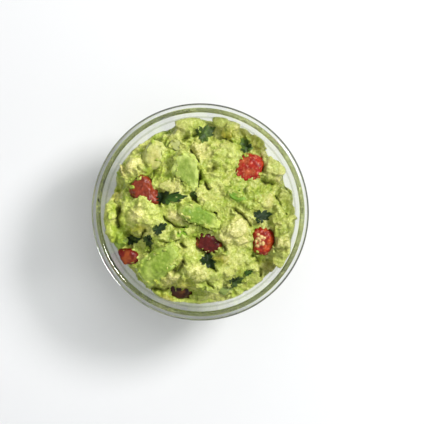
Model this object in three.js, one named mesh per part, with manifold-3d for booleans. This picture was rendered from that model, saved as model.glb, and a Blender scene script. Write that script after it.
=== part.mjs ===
// A small clear glass bowl heaped with chunky guacamole: mashed avocado with
// larger avocado chunks, tomato dice, cilantro leaves and a little onion.
// Millimetres, +Z up, origin at the centre of the bowl's foot.
import * as THREE from 'three';
import { mergeVertices } from 'three/addons/utils/BufferGeometryUtils.js';
import { ImprovedNoise } from 'three/addons/math/ImprovedNoise.js';
import Module from 'manifold-3d';

const wasm = await Module();
wasm.setup();

// ---------------------------------------------------------------- dimensions

const RIM_DIAMETER = 110;
const BOWL_HEIGHT = 52;
const LIP_WIDTH = 5;
const WALL_THICKNESS = 3.5;
const LIP_FILLET = 0.4;
const FLOOR = 5;
const FLOOR_REACH = 40;
const SLOPE_REACH = 27;
const FOOT_RADIUS = 27;
const FOOT_EDGE = 1.2;
const FOOT_FLARE = [37, 10];
const WALL_SLOPE = 71;
const ROUND_STEPS = 48;
const WALL_STEPS = 8;
const OUTER_STEPS = 7;
const LIP_ANGLES = [-38, 0, 45, 90, 126];

// Clearance between neighbouring pieces, and the reach beyond which a piece
// may meet the glass.
const GAP = 0.3;
const TRIM_REACH = 42;

// Detail finer than this is left out of the cut solids, and points closer
// than the second are one point.
const FINEST = 0.2;
const SAME_POINT = 1e-4;

// The heap: height at the wall and in the middle, and how far it reaches out.
const HEAP_EDGE = 38.5;
const HEAP_TOP = 51.5;
const HEAP_RADIUS = 48;
const HEAP_ROUNDNESS = 2.3;
const HEAP_SKIRT = 1.15;
const HEAP_CELLS = 30;
const HEAP_BLOCK = 104;
const ROOM_HEIGHT = 78;
const RELIEF = 1.3;
const RELIEF_SIZE = 5.5;
const HEAP_SEED = 20;

// Small lumps strewn over the heap: how many, and their least and greatest
// length, width as a share of the length, and rise.
const SMALL_LUMPS = 90;
const SMALL_LENGTH = [5, 10];
const SMALL_BREADTH = [0.6, 0.95];
const SMALL_RISE = [0.8, 2.2];

// ------------------------------------------------------------------- colours

const CLEAR_GLASS = { color: 0xdfe6dc, roughness: 0.05, metalness: 0, transparent: true, opacity: 0.35 };
const MASH_GREEN = { color: 0xb4bf66, roughness: 0.55, metalness: 0 };
const AVOCADO_GREEN = { color: 0x93ad45, roughness: 0.45, metalness: 0 };
const TOMATO_RED = { color: 0xb03a26, roughness: 0.3, metalness: 0 };
const LEAF_GREEN = { color: 0x2c4d2b, roughness: 0.6, metalness: 0 };
const ONION_WHITE = { color: 0xa9b37b, roughness: 0.3, metalness: 0 };

// ------------------------------------------------------------- named places

// Lumps of the mash: centre x, y, length, width, rise and turn in degrees.
const LUMPS = {
  left_bank: [-32, -1, 20, 17, 6.5, 10],
  cream_mound: [17.6, -9.5, 17, 14, 4.5, 35],
  lower_ledge: [-4.5, -31, 36, 17, 6.5, -3],
  top_left_knob: [-3.5, 43, 14, 11, 5.5, 0],
  top_right_knob: [14.5, 43.8, 12, 12, 9.5, 20],
  olive_knob_a: [23.5, 38.5, 8, 7, 4.5, 0],
  olive_knob_b: [30.5, 35.8, 9, 8, 7, -40],
  right_knob: [37.5, 21, 14, 12, 6, 60],
  right_bank: [43, -8, 25, 14, 9.5, 85],
  bank_top: [45, 8, 9, 10, 4.5, 0],
  lower_right_wedge: [43, -22.5, 17, 12, 12.5, -30],
  upper_middle: [13, 31, 17, 13, 3, -20],
  centre_right: [27, 8, 14, 10, 3, 30],
  under_leaf: [-4, 11, 12, 8, 2.5, 0],
  lower_right_mass: [14, -28, 20, 14, 3.5, 25],
  upper_left_slope: [-33, 22, 13, 12, 3.5, 50],
  low_left_edge: [-46.5, -6, 9, 26, 10, 0],
  low_left_knob: [-42, -24.5, 8, 8, 5, 30],
  lowest_edge: [-19, -43.5, 22, 8, 6, -22],
};

// Hollows between the lumps: centre x, y, length, width, depth and turn.
const HOLLOWS = {
  left_crevice: [-42.8, -1, 11, 5, 4.5, 80],
  lower_left_dip: [-35, -18.5, 17, 11, 5, -30],
  low_shelf: [-7, -41.5, 17, 7, 3, 5],
  middle_pit: [2, -17, 15, 10, 4, -30],
  below_pit: [4.5, -25, 11, 8, 3.5, 0],
  right_pit: [36.5, 12.5, 8, 6, 4, 30],
  upper_left_dip: [-23, 40, 22, 10, 3.5, 35],
  left_pit: [-22, 8, 12, 8, 2.5, -40],
  knob_gap: [37, 30.8, 10, 8, 9.5, 40],
  bank_gap: [45, 16.2, 10, 8, 8.5, 20],
  knob_side: [-16, 43.5, 8, 7, 5.5, 20],
  left_edge_gap: [-44.5, 12, 8, 14, 9, 15],
  right_edge_gap: [46, 0.5, 9, 7, 4.5, 0],
  corner_gap: [-36, -30.5, 8, 8, 5.5, 0],
};

// How far a lump's foot runs out past its oval, and how steeply it falls.
const CAP_REACH = 1.7;
const CAP_POWER = 1.4;

// The pieces are balls squared off by power and made uneven, with a random
// start and step along the noise; detail is how finely they are split.
const UNEVENNESS_RATE = 1.6;
const CHUNK_SHAPE = { power: 2.9, unevenness: 0.22, start: 0, step: 3.7, detail: 2 };
const DICE_SHAPE = { power: 3.6, unevenness: 0.14, start: 11, step: 2.3, detail: 2 };
const ONION_SHAPE = { power: 3.2, unevenness: 0.12, start: 31, step: 1.9, detail: 1 };

// Chunks longer than this are split more finely.
const LARGE_CHUNK = 28;

// Avocado chunks: centre x, y, length, width, thickness, turn, lengthwise
// tilt, sideways tilt, how high the centre lies against the heap, and how
// much narrower the far end is.
const AVOCADO = [
  [-5.2, 18.2, 27, 12, 8, -62, 3, 6, 0.2, 0.45],
  [0, -1.8, 25, 10.5, 8, -20, 0, -12, 0.4, -0.1],
  [-20.5, -26, 30, 14, 9, 38, -12, 6, 0.2, 0.15],
  [-41, -13.8, 9.5, 8, 7, 60, 0, 0, 0.4, 0],
  [-8.6, -10.6, 10, 5, 5, 8, 0, 10, 0, 0.1],
  [18.5, 8.2, 13, 8, 7, -30, 8, 0, -0.6, 0],
  [-23.5, 28.5, 15.5, 11, 8, 70, 0, 0, 0.2, -0.15],
];

// Tomato dice, in the same terms.
const TOMATO = [
  [-27.6, 9.9, 17, 12.5, 10, -38, 4, -10, -1.2],
  [24.9, 22, 14.5, 12.8, 10, 75, 6, 6, -1.1],
  [3.9, -15.3, 15.6, 10, 8, -30, 0, 0, -0.2],
  [31.3, -14.6, 13.5, 12, 10, 80, 0, 8, -1.2],
  [-36.8, -22.8, 13.5, 8, 8, 6, -14, 0, 0.4],
  [-11.2, -40.2, 16, 8, 7, -12, 0, 20, -0.8],
  [-42.4, -0.9, 8, 13, 11, 0, 0, 0, -9.5],
];
// Flat faces cut on each chunk and dice: how many, and how deep they lie as a
// share of the piece's reach that way.
const CHUNK_FACES = 6;
const DICE_FACES = 4;
const SHALLOWEST_CUT = 0.08;
const CUT_RANGE = 0.2;
const CHUNK_SEED = 40;
const DICE_SEED = 60;

// Pips on the cut side of one tomato piece: half sizes, how many, the turn
// from one to the next, and where they lie: angles in radians, reach and
// height as shares of the piece's size.
const SEEDY_TOMATO = 3;
const PIP_RADII = [1.1, 0.75, 0.65];
const PIPS = 4;
const PIP_TURN = 2.1;
const PIPS_START = 0.6;
const PIPS_STEP = 0.75;
const PIPS_REACH = 0.24;
const PIPS_HEIGHT = 0.46;

// Cilantro leaves: centre x, y, length, width and turn of the leaf.
const CILANTRO = [
  [4.2, 41.2, 10.5, 10, 30],
  [22.6, 34.9, 8, 7, 118],
  [-12.6, 7.4, 16, 8, 4],
  [-2.6, 7.6, 5, 3.6, -60],
  [33, -1.6, 9.5, 8, 15],
  [-19.4, -7.6, 8, 6, 35],
  [-33.2, -14.2, 7.6, 5.6, 10],
  [-26, -15.8, 7, 6, -70],
  [5.2, -26, 9, 8, -50],
  [19.4, -34.8, 8, 6, 25],
  [25, -30.6, 4.4, 3.6, 20],
];
const LEAF_THICKNESS = 0.5;
// The stalk end lies nearer the leaf's centre than the tip does.
const LEAF_FORWARD = 0.68;
const LEAF_BACK = 0.16;
const LEAF_SPREAD = 0.66;
const LEAF_LIFT = 0.7;
const LEAF_WAVE = 0.5;
const LEAF_PHASE = 1.3;
const LEAF_RINGS = [0.55, 1];
const LEAF_LOBES = 3;
const LOBE_DEPTH = 0.14;
const LEAF_TEETH = 9;
const TOOTH_DEPTH = 0.09;
const STALK_END = 0.5;
const LEAF_STEPS = 2 * LEAF_TEETH;

// Onion pieces, in the terms of the chunks.
const ONION = [
  [-12.4, 34, 6.5, 5.5, 4, -20, 0, 0, 0.6],
  [-17.4, 37.6, 4, 3.4, 3, 20, 0, 0, 0.4],
  [12.9, -39.2, 8, 5.5, 4.5, 10, 0, 10, 0.2],
];

// ----------------------------------------------------------------- utilities

const noise = new ImprovedNoise();

function seededRandom(seed) {
  let state = seed >>> 0;
  return () => {
    state = (state + 0x6d2b79f5) >>> 0;
    let t = Math.imul(state ^ (state >>> 15), 1 | state);
    t = (t + Math.imul(t ^ (t >>> 7), 61 | t)) ^ t;
    return ((t ^ (t >>> 14)) >>> 0) / 4294967296;
  };
}

function between([low, high], share) {
  return low + (high - low) * share;
}

function closedGeometry(geometry) {
  const bare = geometry.clone();
  bare.deleteAttribute('normal');
  bare.deleteAttribute('uv');
  return mergeVertices(bare, SAME_POINT);
}

// A closed geometry as a solid, for cutting and joining.
function toSolid(geometry) {
  const closed = closedGeometry(geometry);
  const mesh = new wasm.Mesh({
    numProp: 3,
    vertProperties: new Float32Array(closed.attributes.position.array),
    triVerts: new Uint32Array(closed.index.array),
  });
  return new wasm.Manifold(mesh);
}

function toGeometry(solid) {
  const { vertProperties, triVerts } = solid.getMesh();
  const geometry = new THREE.BufferGeometry();
  geometry.setAttribute('position', new THREE.BufferAttribute(vertProperties, 3));
  geometry.setIndex(new THREE.BufferAttribute(triVerts, 1));
  geometry.computeVertexNormals();
  return geometry;
}

// A copy pushed out along its normals, which leaves room round a piece.
function grown(geometry, distance) {
  const closed = closedGeometry(geometry);
  closed.computeVertexNormals();
  const { position, normal } = closed.attributes;
  for (let i = 0; i < position.count; i += 1) {
    position.setXYZ(
      i,
      position.getX(i) + normal.getX(i) * distance,
      position.getY(i) + normal.getY(i) * distance,
      position.getZ(i) + normal.getZ(i) * distance,
    );
  }
  return closed;
}

function namedMesh(name, geometry, look) {
  const mesh = new THREE.Mesh(geometry, new THREE.MeshStandardMaterial(look));
  mesh.name = name;
  return mesh;
}

// ---------------------------------------------------------------- glass bowl

const lipRadius = LIP_WIDTH / 2;
const lipCentre = new THREE.Vector2(RIM_DIAMETER / 2 - lipRadius, BOWL_HEIGHT - lipRadius);

function onLip(degrees) {
  const angle = THREE.MathUtils.degToRad(degrees);
  return new THREE.Vector2(Math.cos(angle), Math.sin(angle)).multiplyScalar(lipRadius).add(lipCentre);
}

// The directions along both walls where they run into the lip, and out of them.
const slopeAngle = THREE.MathUtils.degToRad(WALL_SLOPE);
const upWall = new THREE.Vector2(Math.cos(slopeAngle), Math.sin(slopeAngle));
const outOfWall = new THREE.Vector2(upWall.y, -upWall.x);
const intoLip = upWall.clone().multiplyScalar(SLOPE_REACH);

// The inner wall, from the middle of the floor up to the lip.
const innerEnd = onLip(90 + WALL_SLOPE);
const innerWall = new THREE.CubicBezierCurve(
  new THREE.Vector2(0, FLOOR),
  new THREE.Vector2(FLOOR_REACH, FLOOR),
  innerEnd.clone().sub(intoLip),
  innerEnd,
);

// The centre of the fillet between the outer wall and the wider round of the lip.
const filletOut = WALL_THICKNESS - lipRadius + LIP_FILLET;
const filletDown = Math.sqrt((lipRadius + LIP_FILLET) ** 2 - filletOut ** 2);
const filletCentre = lipCentre.clone()
  .add(outOfWall.clone().multiplyScalar(filletOut))
  .sub(upWall.clone().multiplyScalar(filletDown));

// The fillet's points, from the wall round to the lip.
function filletPoints() {
  const fromWall = outOfWall.clone().negate();
  const toLip = lipCentre.clone().sub(filletCentre).normalize();
  const middle = fromWall.clone().add(toLip).normalize();
  return [middle, toLip].map((way) => way.multiplyScalar(LIP_FILLET).add(filletCentre));
}

// The outer wall, from the edge of the foot up to the fillet under the lip.
const outerEnd = filletCentre.clone().sub(outOfWall.clone().multiplyScalar(LIP_FILLET));
const outerWall = new THREE.CubicBezierCurve(
  new THREE.Vector2(FOOT_RADIUS, FOOT_EDGE),
  new THREE.Vector2(...FOOT_FLARE),
  outerEnd.clone().sub(intoLip),
  outerEnd,
);

// The point at t on the inner wall, moved by distance away from the food.
function wallPoint(t, distance) {
  const tangent = innerWall.getTangent(t);
  return innerWall.getPoint(t).add(new THREE.Vector2(tangent.y, -tangent.x).multiplyScalar(distance));
}

function innerWallPoints(distance) {
  const points = [];
  for (let i = WALL_STEPS; i >= 0; i -= 1) points.push(wallPoint(i / WALL_STEPS, distance));
  points[WALL_STEPS].x = 0;
  return points;
}

// Spins a profile about the vertical axis.
function lathe(profile) {
  return new THREE.LatheGeometry(profile, ROUND_STEPS).rotateX(Math.PI / 2);
}

function glassBowl() {
  const foot = [new THREE.Vector2(0, 0), new THREE.Vector2(FOOT_RADIUS - FOOT_EDGE, 0)];
  const outside = [...outerWall.getPoints(OUTER_STEPS), ...filletPoints()];
  return lathe([...foot, ...outside, ...LIP_ANGLES.map(onLip), ...innerWallPoints(0)]);
}

// The room that the food may fill: the bowl's hollow and a column above it.
function foodRoom() {
  const wall = innerWallPoints(-GAP);
  const profile = [new THREE.Vector2(0, ROOM_HEIGHT), new THREE.Vector2(wall[0].x, ROOM_HEIGHT), ...wall];
  return lathe(profile.reverse());
}

// ----------------------------------------------------------------- the heap

// 1 in the middle of an oval, falling to 0 at its edge.
function ovalCap(x, y, [cx, cy, length, width, , turn]) {
  const angle = THREE.MathUtils.degToRad(turn);
  const along = (x - cx) * Math.cos(angle) + (y - cy) * Math.sin(angle);
  const across = (y - cy) * Math.cos(angle) - (x - cx) * Math.sin(angle);
  const reach = (2 * along / length) ** 2 + (2 * across / width) ** 2;
  return reach < CAP_REACH ? (1 - reach / CAP_REACH) ** CAP_POWER : 0;
}

function scatteredLumps() {
  const random = seededRandom(HEAP_SEED);
  const lumps = [];
  for (let i = 0; i < SMALL_LUMPS; i += 1) {
    const radius = HEAP_RADIUS * Math.sqrt(random());
    const angle = 2 * Math.PI * random();
    const length = between(SMALL_LENGTH, random());
    const width = length * between(SMALL_BREADTH, random());
    const rise = between(SMALL_RISE, random());
    lumps.push([radius * Math.cos(angle), radius * Math.sin(angle), length, width, rise, 180 * random()]);
  }
  return lumps;
}

const smallLumps = scatteredLumps();

// The mound with its named lumps and hollows, without the small relief.
function moundHeight(x, y) {
  const out = Math.min(Math.hypot(x, y) / HEAP_RADIUS, HEAP_SKIRT);
  let height = HEAP_EDGE + (HEAP_TOP - HEAP_EDGE) * (1 - out ** HEAP_ROUNDNESS);
  for (const lump of Object.values(LUMPS)) height += lump[4] * ovalCap(x, y, lump);
  for (const hollow of Object.values(HOLLOWS)) height -= hollow[4] * ovalCap(x, y, hollow);
  return height;
}

function heapHeight(x, y) {
  let rise = 0;
  for (const lump of smallLumps) rise = Math.max(rise, lump[4] * ovalCap(x, y, lump));
  const relief = noise.noise(x / RELIEF_SIZE, y / RELIEF_SIZE, HEAP_SEED);
  return moundHeight(x, y) + rise + RELIEF * relief;
}

// Height of the faceted top, whose cells are split from low x, y to high x, y.
function facetHeight(x, y) {
  const cell = HEAP_BLOCK / HEAP_CELLS;
  const column = Math.floor((x + HEAP_BLOCK / 2) / cell);
  const row = Math.floor((y + HEAP_BLOCK / 2) / cell);
  const [x0, y0] = [column * cell - HEAP_BLOCK / 2, row * cell - HEAP_BLOCK / 2];
  const [u, v] = [(x - x0) / cell, (y - y0) / cell];
  const low = heapHeight(x0, y0);
  const high = heapHeight(x0 + cell, y0 + cell);
  if (v > u) {
    const left = heapHeight(x0, y0 + cell);
    return low + (left - low) * v + (high - left) * u;
  }
  const right = heapHeight(x0 + cell, y0);
  return low + (right - low) * u + (high - right) * v;
}

function heapBlock() {
  const block = new THREE.BoxGeometry(
    HEAP_BLOCK, HEAP_BLOCK, BOWL_HEIGHT, HEAP_CELLS, HEAP_CELLS, 1,
  );
  const { position } = block.attributes;
  for (let i = 0; i < position.count; i += 1) {
    const x = position.getX(i);
    const y = position.getY(i);
    position.setZ(i, position.getZ(i) > 0 ? heapHeight(x, y) : 0);
  }
  return block;
}

// ------------------------------------------------------------ loose pieces

// An uneven rounded block of the given shape, the number-th of its kind.
function roundedPiece([length, width, thickness], shape, number, taper = 0) {
  const { power, unevenness } = shape;
  const ball = new THREE.IcosahedronGeometry(1, shape.detail);
  const offset = new THREE.Vector3(1, -1, 0).multiplyScalar(shape.start + number * shape.step);
  const place = new THREE.Vector3();
  const { position } = ball.attributes;
  const point = new THREE.Vector3();
  for (let i = 0; i < position.count; i += 1) {
    point.fromBufferAttribute(position, i);
    const sum = Math.abs(point.x) ** power + Math.abs(point.y) ** power + Math.abs(point.z) ** power;
    place.copy(point).multiplyScalar(UNEVENNESS_RATE).add(offset);
    const bump = noise.noise(place.x, place.y, place.z);
    point.multiplyScalar((1 + unevenness * bump) / sum ** (1 / power));
    const breadth = 1 - taper * point.x;
    position.setXYZ(i, point.x * length / 2, point.y * breadth * width / 2, point.z * thickness / 2);
  }
  return ball;
}

// Cuts flat faces on a piece, each set in a little from its outermost point.
function carved(geometry, faces, seed) {
  const random = seededRandom(seed);
  const { position } = geometry.attributes;
  const point = new THREE.Vector3();
  let solid = toSolid(geometry);
  for (let i = 0; i < faces; i += 1) {
    const facing = new THREE.Vector3(2 * random() - 1, 2 * random() - 1, random()).normalize();
    let outermost = 0;
    for (let k = 0; k < position.count; k += 1) {
      outermost = Math.max(outermost, point.fromBufferAttribute(position, k).dot(facing));
    }
    const kept = outermost * (1 - SHALLOWEST_CUT - CUT_RANGE * random());
    solid = solid.trimByPlane(facing.negate().toArray(), -kept);
  }
  return toGeometry(solid.simplify(FINEST));
}

// Cuts a set piece back where it would reach into the glass.
function trimToBowl(mesh) {
  const reach = mesh.geometry.boundingSphere.radius + Math.hypot(mesh.position.x, mesh.position.y);
  if (reach < TRIM_REACH) return;
  const placed = mesh.geometry.clone().applyMatrix4(mesh.matrixWorld);
  const trimmed = toGeometry(toSolid(placed).intersect(toSolid(foodRoom())));
  mesh.geometry = trimmed.applyMatrix4(mesh.matrixWorld.clone().invert());
}

// Turns a piece about the vertical, tilts it and sets it into the heap.
function setInHeap(mesh, x, y, turn, lengthTilt, sideTilt, lift) {
  mesh.rotation.order = 'ZYX';
  mesh.rotation.set(
    THREE.MathUtils.degToRad(sideTilt),
    THREE.MathUtils.degToRad(lengthTilt),
    THREE.MathUtils.degToRad(turn),
  );
  mesh.position.set(x, y, moundHeight(x, y) + lift);
  mesh.updateMatrixWorld();
  mesh.geometry.computeBoundingSphere();
  trimToBowl(mesh);
  return mesh;
}

function avocadoChunks() {
  return AVOCADO.map(([x, y, length, width, thickness, turn, tilt, roll, lift, taper], i) => {
    const detail = length > LARGE_CHUNK ? CHUNK_SHAPE.detail + 1 : CHUNK_SHAPE.detail;
    const block = roundedPiece([length, width, thickness], { ...CHUNK_SHAPE, detail }, i, taper);
    const geometry = carved(block, CHUNK_FACES, CHUNK_SEED + i);
    const mesh = namedMesh(`avocado_chunk_${i + 1}`, geometry, AVOCADO_GREEN);
    return setInHeap(mesh, x, y, turn, tilt, roll, lift);
  });
}

// Pips that stand out of the cut side of a tomato piece.
function withPips(dice, [length, width, thickness]) {
  let solid = toSolid(dice);
  for (let i = 0; i < PIPS; i += 1) {
    const pip = new THREE.IcosahedronGeometry(1, 0).scale(...PIP_RADII).rotateZ(i * PIP_TURN);
    const angle = PIPS_START + i * PIPS_STEP;
    pip.translate(
      PIPS_REACH * length * Math.cos(angle),
      PIPS_REACH * width * Math.sin(angle),
      PIPS_HEIGHT * thickness,
    );
    solid = solid.add(toSolid(pip));
  }
  return toGeometry(solid);
}

function tomatoDice() {
  return TOMATO.map(([x, y, length, width, thickness, turn, tilt, roll, lift], i) => {
    const block = roundedPiece([length, width, thickness], DICE_SHAPE, i);
    let geometry = carved(block, DICE_FACES, DICE_SEED + i);
    if (i === SEEDY_TOMATO) geometry = withPips(geometry, [length, width, thickness]);
    const mesh = namedMesh(`tomato_${i + 1}`, geometry, TOMATO_RED);
    return setInHeap(mesh, x, y, turn, tilt, roll, lift);
  });
}

function onionPieces() {
  return ONION.map(([x, y, length, width, thickness, turn, tilt, roll, lift], i) => {
    const geometry = roundedPiece([length, width, thickness], ONION_SHAPE, i);
    const mesh = namedMesh(`onion_${i + 1}`, geometry, ONION_WHITE);
    return setInHeap(mesh, x, y, turn, tilt, roll, lift);
  });
}

// The outline of a cilantro leaf: three lobes with teeth, narrow at the stalk.
function leafReach(angle) {
  const lobes = 1 - LOBE_DEPTH + LOBE_DEPTH * Math.cos(LEAF_LOBES * angle);
  const stalkEnd = STALK_END + (1 - STALK_END) * Math.cos(angle / 2) ** 2;
  const teeth = 1 + TOOTH_DEPTH * Math.cos(LEAF_TEETH * angle);
  return lobes * stalkEnd * teeth;
}

// A thin wavy leaf that lies along the heap, its faces split alike.
function leafGeometry(x, y, length, width, turn, phase) {
  const angle = THREE.MathUtils.degToRad(turn);
  const vertices = [];
  const indices = [];
  const addPoint = (reach, phi, side) => {
    const along = length * (LEAF_FORWARD * reach * Math.cos(phi) - LEAF_BACK);
    const across = LEAF_SPREAD * width * reach * Math.sin(phi);
    const px = along * Math.cos(angle) - across * Math.sin(angle);
    const py = along * Math.sin(angle) + across * Math.cos(angle);
    const wave = LEAF_WAVE * reach * reach * (1 + Math.sin(LEAF_LOBES * phi + phase));
    const z = facetHeight(x + px, y + py) - facetHeight(x, y) + wave;
    vertices.push(px, py, z + side * LEAF_THICKNESS / 2);
  };
  for (const side of [-1, 1]) {
    addPoint(0, 0, side);
    for (const ring of LEAF_RINGS) {
      for (let i = 0; i < LEAF_STEPS; i += 1) {
        const phi = (2 * Math.PI * i) / LEAF_STEPS;
        addPoint(ring * leafReach(phi), phi, side);
      }
    }
  }
  const perSide = 1 + LEAF_RINGS.length * LEAF_STEPS;
  const addTriangle = (a, b, c) => {
    indices.push(perSide + a, perSide + b, perSide + c);
    indices.push(a, c, b);
  };
  for (let i = 0; i < LEAF_STEPS; i += 1) {
    const next = (i + 1) % LEAF_STEPS;
    const [inner, innerNext] = [1 + i, 1 + next];
    const [outer, outerNext] = [inner + LEAF_STEPS, innerNext + LEAF_STEPS];
    addTriangle(0, inner, innerNext);
    addTriangle(inner, outer, outerNext);
    addTriangle(inner, outerNext, innerNext);
    indices.push(outer, outerNext, perSide + outerNext);
    indices.push(outer, perSide + outerNext, perSide + outer);
  }
  const geometry = new THREE.BufferGeometry();
  geometry.setAttribute('position', new THREE.Float32BufferAttribute(vertices, 3));
  geometry.setIndex(indices);
  geometry.computeVertexNormals();
  return geometry;
}

function cilantroLeaves() {
  return CILANTRO.map(([x, y, length, width, turn], i) => {
    const geometry = leafGeometry(x, y, length, width, turn, i * LEAF_PHASE);
    const mesh = namedMesh(`cilantro_${i + 1}`, geometry, LEAF_GREEN);
    mesh.position.set(x, y, facetHeight(x, y) + LEAF_LIFT);
    mesh.updateMatrixWorld();
    return mesh;
  });
}

// -------------------------------------------------------------- the object

const embedded = [...avocadoChunks(), ...tomatoDice(), ...onionPieces()];

function largestPart(solid) {
  return solid.decompose().reduce((a, b) => (b.volume() > a.volume() ? b : a));
}

// The mash fills the bowl under its uneven top, with a pocket for each piece.
function mash() {
  let solid = toSolid(heapBlock()).intersect(toSolid(foodRoom()));
  for (const piece of embedded) {
    const pocket = grown(piece.geometry, GAP).applyMatrix4(piece.matrixWorld);
    solid = solid.subtract(toSolid(pocket));
  }
  return toGeometry(largestPart(solid).simplify(FINEST));
}

const guacamole = new THREE.Group();
guacamole.add(namedMesh('bowl', glassBowl(), CLEAR_GLASS));
guacamole.add(namedMesh('mash', mash(), MASH_GREEN));
guacamole.add(...embedded, ...cilantroLeaves());

export default guacamole;
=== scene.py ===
"""A small clear glass bowl heaped with chunky guacamole, seen from straight above."""

import functools
import math

import bmesh
import bpy
import numpy as np
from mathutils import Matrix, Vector
from mathutils.bvhtree import BVHTree
from mathutils.kdtree import KDTree


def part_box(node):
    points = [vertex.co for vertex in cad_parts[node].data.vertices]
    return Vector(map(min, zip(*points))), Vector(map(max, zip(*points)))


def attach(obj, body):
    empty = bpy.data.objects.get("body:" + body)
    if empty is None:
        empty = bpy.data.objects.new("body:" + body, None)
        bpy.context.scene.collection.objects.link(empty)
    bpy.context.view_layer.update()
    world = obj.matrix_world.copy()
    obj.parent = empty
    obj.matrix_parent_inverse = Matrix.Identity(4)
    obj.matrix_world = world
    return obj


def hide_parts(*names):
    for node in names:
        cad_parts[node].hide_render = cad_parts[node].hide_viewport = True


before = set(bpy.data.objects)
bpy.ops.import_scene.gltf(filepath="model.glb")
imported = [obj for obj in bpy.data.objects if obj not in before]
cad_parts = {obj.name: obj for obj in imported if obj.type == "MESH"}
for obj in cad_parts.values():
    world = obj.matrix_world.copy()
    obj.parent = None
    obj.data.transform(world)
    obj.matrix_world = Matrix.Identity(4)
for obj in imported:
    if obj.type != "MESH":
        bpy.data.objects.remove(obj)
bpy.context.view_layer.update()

MM = 0.001
scene = bpy.context.scene
rng = np.random.default_rng(11)

# ----- sizes of the bowl
# Its outer size comes from the frame; these are the rest of its driving sizes.
RIM_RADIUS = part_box("bowl")[1].x
BOWL_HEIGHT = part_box("bowl")[1].z
LIP_WIDTH = 5 * MM
FLOOR = 5 * MM
FLOOR_REACH = 40 * MM
SLOPE_REACH = 27 * MM
WALL_SLOPE = math.radians(71)
WALL_THICKNESS = 3.5 * MM
LIP_FILLET = 0.4 * MM
FOOT_RADIUS = 27 * MM
FOOT_EDGE = 1.2 * MM
FOOT_FLARE = (37 * MM, 10 * MM)
BOWL_STEPS = 288
WALL_STEPS = 60
LIP_STEPS = 56
FILLET_STEPS = 8
FOOT_STEPS = 6
# The glass: its tint, its body's colour and density, and how much of a lamp's
# light it lets through.
GLASS_TINT = (0.985, 0.992, 0.99)
GLASS_BODY = (0.1, 0.3, 0.12, 1)
GLASS_DENSITY = 7
GLASS_SHADOW = (0.47, 0.48, 0.47, 1)
# Painted refraction: the dark line along the lip's edge is painted into the glass's
# tint, standing in for the dark surroundings that refraction shows there: its width,
# its tint, the side where it is palest and by how much.
EDGE_LINE = 1.05 * MM
EDGE_REFRACTION_TINT = (0.025, 0.027, 0.022)
EDGE_PALEST = math.radians(205)
EDGE_FADE = 0.75
# Painted refraction: the dark green line round the lip's inner side is painted into
# the glass's tint, standing in for the dark image that refraction gives there: how
# far in, its half width, its tint.
INNER_LINE = (4.35 * MM, 0.3 * MM)
INNER_REFRACTION_TINT = (0.26, 0.3, 0.12)
# How far the food reaches into the wall, so that no air shows behind the glass,
# and the steps of the inner wall that it is pressed to.
PRESS = 0.12 * MM
PRESS_STEPS = 400

# ----- sizes of the mash
MASH_VOXEL = 0.42 * MM
CORE_SWELL = 0.42 * MM
# Scattered lumps: how many, smallest and largest radius, how deep they sit.
LUMP_KINDS = [
    (110, 1.9 * MM, 3.1 * MM, 0.5),
    (520, 1.1 * MM, 1.9 * MM, 0.4),
    (1500, 0.6 * MM, 1.1 * MM, 0.3),
]
# Crumbs of mash that lie on the edges of the pieces set into it: the kinds of
# piece, how many, how far in from the edge, smallest and largest radius.
EDGE_CRUMBS = [
    (("avocado", "tomato", "onion"), 380, 1.6 * MM, 0.6 * MM, 1.3 * MM),
    (("avocado",), 300, 3.0 * MM, 0.5 * MM, 1.5 * MM),
]
HEAP_REACH = 47 * MM
# Broken relief of the skin: cell size, step between cells, groove depth.
RELIEF = [(4.8 * MM, 0.55 * MM, 0.5 * MM), (2.6 * MM, 0.32 * MM, 0.4 * MM)]
WALL_SNAP = 0.5 * MM
WALL_FADE = 2.0 * MM
# Cracks open only above the first height, and the mesh is thinned below the second.
CRACK_FOOT = 34 * MM
PLAIN_BELOW = 32 * MM
PLAIN_SHARE = 0.9
MOST_TRIANGLES = 190000

# Tones of the mash, as shown on screen: red, green, blue from 0 to 255.
TONES = {
    "cream": (222, 214, 144),
    "pale": (206, 211, 122),
    "mid": (186, 195, 90),
    "green": (160, 180, 66),
    "olive": (162, 156, 48),
    "khaki": (200, 190, 124),
    "deep": (138, 156, 42),
}
TONE_SHARES = {"cream": 0.12, "pale": 0.25, "mid": 0.28, "green": 0.22, "olive": 0.06, "deep": 0.07}
# How far a lump's tone reaches, as a share of its size, and how strongly.
TONE_REACH = 0.68 * MM
TONE_PULL = 0.6
# Painted light: how much paler the mash is painted towards the left, the side away
# from the lamp, and darker towards the right.
PAINTED_LIGHT_FALL = 0.16
# Painted shade: the dark tone painted into hollows and cracks, where shade falls,
# how much of it each takes, and the most.
PAINTED_SHADE_TONE = (74, 76, 4)
HOLLOW_SHADE_SHARE = 0.34
CRACK_SHADE_SHARE = 0.5
MOST_PAINTED_SHADE = 0.82
# Mash smeared on the glass, painted near white: partly the paler smear, partly painted
# light standing in for the light that comes in through the glass.
SMEAR_AND_GLASS_LIGHT = (226, 228, 184)
SMEAR_AND_GLASS_LIGHT_SHARE = 0.7
# Painted light and shade on the wide and narrow bumps of the mash, their tops painted
# lighter and the ground between them darker: rounds of smoothing that level them, the
# rise that counts in full, and how much it lightens red, green and blue.
BUMP_LIGHT_AND_SHADE = [(10, 0.25 * MM, (0.07, 0.06, 0.14)), (60, 0.9 * MM, (0.03, 0.02, 0.12))]

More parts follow.
